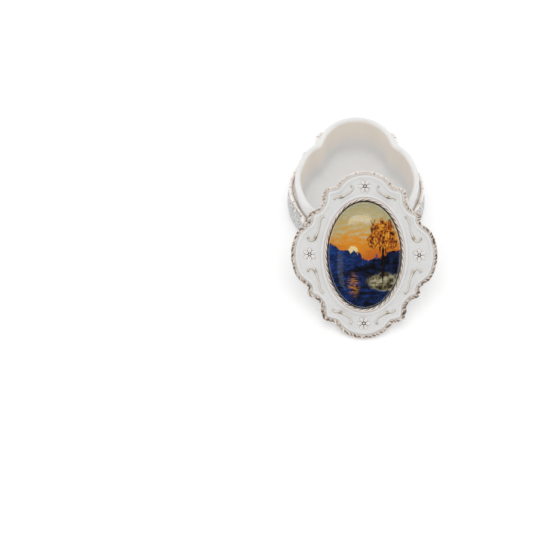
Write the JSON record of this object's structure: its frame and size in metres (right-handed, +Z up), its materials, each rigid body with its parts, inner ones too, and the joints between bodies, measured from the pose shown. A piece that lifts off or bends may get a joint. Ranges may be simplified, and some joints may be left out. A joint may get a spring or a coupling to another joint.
{
  "type": "rosary box",
  "caption": "Shallow box with a rounded cross-lobed plan, a raised collar round its mouth and a loose lid with an oval glazed picture, leaning on the box's front.",
  "frame": {"origin": "centre of the flat bottom of the box", "axes": "+Z up, +Y along the box's length towards its back, -Y towards the front where the lid leans, +X to the right"},
  "size_m": [0.0684, 0.1091, 0.0446],
  "materials": {
    "white_enamel": "glossy white enamel",
    "silver": "polished silver plate, dark in its grooves",
    "pearl_silver": "satin silver",
    "printed_card": "printed",
    "clear_glass": "clear, domed"
  },
  "bodies": {
    "base": {"base_shell": "white_enamel", "base_trim": "silver"},
    "lid": {"lid_shell": "white_enamel", "lid_trim": "silver", "picture_bezel": "silver", "picture_card": "printed_card", "glass_dome": "clear_glass", "flower_top": "pearl_silver", "flower_bottom": "pearl_silver", "flower_left": "pearl_silver", "flower_right": "pearl_silver", "scroll_top_left": "pearl_silver", "scroll_top_right": "pearl_silver", "scroll_bottom_left": "pearl_silver", "scroll_bottom_right": "pearl_silver", "scroll_left_upper": "pearl_silver", "scroll_left_lower": "pearl_silver", "scroll_right_upper": "pearl_silver", "scroll_right_lower": "pearl_silver"}
  },
  "joints": [
    {"name": "lid_lift", "type": "slide", "parent": "base", "child": "lid", "axis": [0, 0, 1], "range_m": [0, 0.08]}
  ]
}
